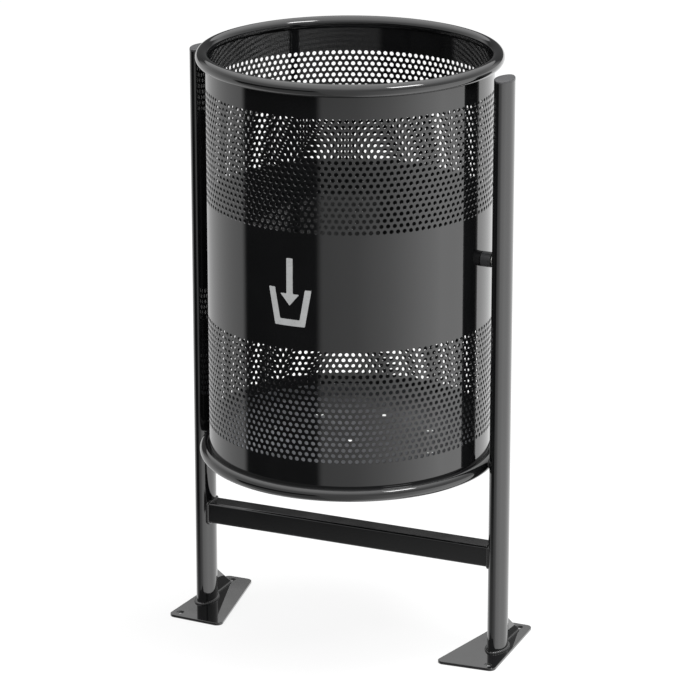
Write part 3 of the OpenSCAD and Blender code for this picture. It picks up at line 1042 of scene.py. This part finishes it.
def studio_world(facing):
    """A studio all round: a broad pale side and a black flag below the horizon, soft light above it."""
    world = bpy.data.worlds.new("studio")
    bpy.context.scene.world = world
    world.use_nodes = True
    nodes = Nodes(world.node_tree)
    nodes.tree.nodes.clear()
    way = nodes.add("ShaderNodeTexCoord").outputs["Generated"]
    turned_way = nodes.add("ShaderNodeVectorRotate", {"rotation_type": "Z_AXIS"}, Vector=way,
                           Angle=-facing).outputs["Vector"]
    parts = nodes.add("ShaderNodeSeparateXYZ", Vector=turned_way)
    # the angle round the object: 0 is on the camera's side, a quarter turn is at its right
    towards = nodes.add("ShaderNodeMath", {"operation": "MULTIPLY"}, _0=parts.outputs["Y"], _1=-1.0)
    turn = nodes.add("ShaderNodeMath", {"operation": "ARCTAN2"}, _0=parts.outputs["X"],
                     _1=towards.outputs[0]).outputs[0]
    share = spread(nodes, turn, 0.0, 1.0, -math.pi, math.pi)
    height = spread(nodes, parts.outputs["Z"], 0.0, 1.0, -1.0, 1.0)
    top = 3.0

    def by_height(*stops):
        return ramp_of(nodes, height, [((z + 1) / 2, level) for z, level in stops], top)

    bands = ((-180, 0.8), (-135, 1.1), (-96, 1.2), (-91, 0.02), (-27, 0.03), (-22, 0.85), (5, 1.0),
             (30, 1.5), (60, 2.4), (78, 2.7), (104, 2.0), (130, 1.7), (160, 1.5), (180, 0.9))
    around = ramp_of(nodes, share, [((angle + 180) / 360, level) for angle, level in bands], top)
    ground = by_height((-1.0, 0.6), (-0.365, 0.6), (-0.345, 0.0), (1.0, 0.0))
    low = blend(nodes, 1.0, around, ground, "LIGHTEN")
    # above the horizon it is dark only low down behind the object
    back_sky = by_height((-1.0, 0.12), (0.359, 0.12), (0.366, 1.1), (0.55, 1.5), (0.8, 2.6), (1.0, 3.0))
    open_sky = by_height((-1.0, 1.0), (0.4, 1.0), (0.55, 1.5), (0.8, 2.6), (1.0, 3.0))
    aside = nodes.add("ShaderNodeMath", {"operation": "ABSOLUTE"}, _0=turn).outputs[0]
    behind = spread(nodes, aside, 0.0, 1.0, math.radians(135), math.radians(150))
    above = spread(nodes, parts.outputs["Z"], 0.0, 1.0, -0.02, 0.02)
    shade = blend(nodes, above, low, blend(nodes, behind, open_sky, back_sky))
    studio = nodes.add("ShaderNodeBackground", Strength=top, Color=shade)
    plain = nodes.add("ShaderNodeBackground", Strength=1.0, Color=(1.0, 1.0, 1.0, 1))
    seen = nodes.add("ShaderNodeLightPath").outputs["Is Camera Ray"]
    both = nodes.add("ShaderNodeMixShader", _0=seen, _1=studio.outputs[0], _2=plain.outputs[0])
    nodes.add("ShaderNodeOutputWorld", Surface=both.outputs[0])


def softbox(name, azimuth, elevation, distance, size, power, seen=True):
    """An area light that looks at the basket; azimuth is counted from the front to the right."""
    light = bpy.data.lights.new(name, "AREA")
    light.shape = "RECTANGLE"
    light.size, light.size_y = size
    light.energy = power
    obj = bpy.data.objects.new(name, light)
    bpy.context.scene.collection.objects.link(obj)
    a, e = math.radians(azimuth), math.radians(elevation)
    back = Vector((math.sin(a) * math.cos(e), -math.cos(a) * math.cos(e), math.sin(e)))
    obj.location = Vector((0, 0, PIVOT_Z)) + back * distance
    obj.rotation_euler = (-back).to_track_quat("-Z", "Y").to_euler()
    obj.visible_glossy = seen


class BIN_OT_stage(bpy.types.Operator):
    """Builds the studio floor, the lights and the camera"""

    bl_idname = "litter_bin.stage"
    bl_label = "Stage"

    def execute(self, context):
        half_size = 40
        bm = fresh()
        bmesh.ops.create_grid(bm, x_segments=1, y_segments=1, size=half_size)
        floor = bpy.data.objects.new("studio_floor", as_mesh(bm, "studio_floor"))
        floor.data.materials.append(finish_of(floor_paint))
        floor.visible_glossy = False
        context.scene.collection.objects.link(floor)
        studio_world(context.scene.bin_stage.azimuth)
        softbox("key softbox", azimuth=74, elevation=50, distance=3.2, size=(1.1, 0.6), power=50)
        softbox("top softbox", azimuth=119, elevation=70, distance=3.6, size=(2.4, 2.0), power=260,
                seen=False)
        self.camera(context)
        return {"FINISHED"}

    def camera(self, context):
        """Puts the camera at its viewing angle."""
        stage = context.scene.bin_stage
        data = bpy.data.cameras.new("camera")
        data.sensor_width = 36
        data.lens = stage.lens
        camera = bpy.data.objects.new("camera", data)
        context.scene.collection.objects.link(camera)
        camera.location = (stage.distance * math.sin(stage.azimuth),
                           -stage.distance * math.cos(stage.azimuth), stage.height)
        camera.rotation_euler = (math.pi / 2 - stage.pitch, 0, stage.azimuth)
        context.scene.camera = camera
        context.scene.view_settings.view_transform = "Standard"


# ---- the panel


OPERATORS = (BIN_OT_wall, BIN_OT_rings, BIN_OT_floor_pan, BIN_OT_seam, BIN_OT_sign, BIN_OT_pivots,
             BIN_OT_buffers, BIN_OT_posts, BIN_OT_crossbar, BIN_OT_feet, BIN_OT_stage)
GROUPS = {"bin_wall": WallSizes, "bin_steel": SteelSizes, "bin_finish": Finishes, "bin_stage": StageSizes}


class BIN_PT_panel(bpy.types.Panel):
    """Lists the pieces of the bin"""

    bl_idname = "BIN_PT_panel"
    bl_label = "Litter bin"
    bl_space_type = "VIEW_3D"
    bl_region_type = "UI"
    bl_category = "Litter bin"

    def draw(self, context):
        for operator in OPERATORS:
            self.layout.operator(operator.bl_idname)
        for name, group in GROUPS.items():
            box = self.layout.box()
            for prop in group.__annotations__:
                box.prop(getattr(context.scene, name), prop)


def register():
    """Adds the sizes, the operators and the panel to Blender."""
    for cls in (*GROUPS.values(), *OPERATORS, BIN_PT_panel):
        bpy.utils.register_class(cls)
    for name, group in GROUPS.items():
        setattr(bpy.types.Scene, name, PointerProperty(type=group))


def unregister():
    """Takes them out again."""
    for name in GROUPS:
        delattr(bpy.types.Scene, name)
    for cls in reversed((*GROUPS.values(), *OPERATORS, BIN_PT_panel)):
        bpy.utils.unregister_class(cls)


def main():
    """Builds everything in order."""
    global STEEL, FINISH
    register()
    STEEL = bpy.context.scene.bin_steel
    FINISH = bpy.context.scene.bin_finish
    for operator in OPERATORS:
        group, name = operator.bl_idname.split(".")
        getattr(getattr(bpy.ops, group), name)()


if __name__ == "__main__":
    main()
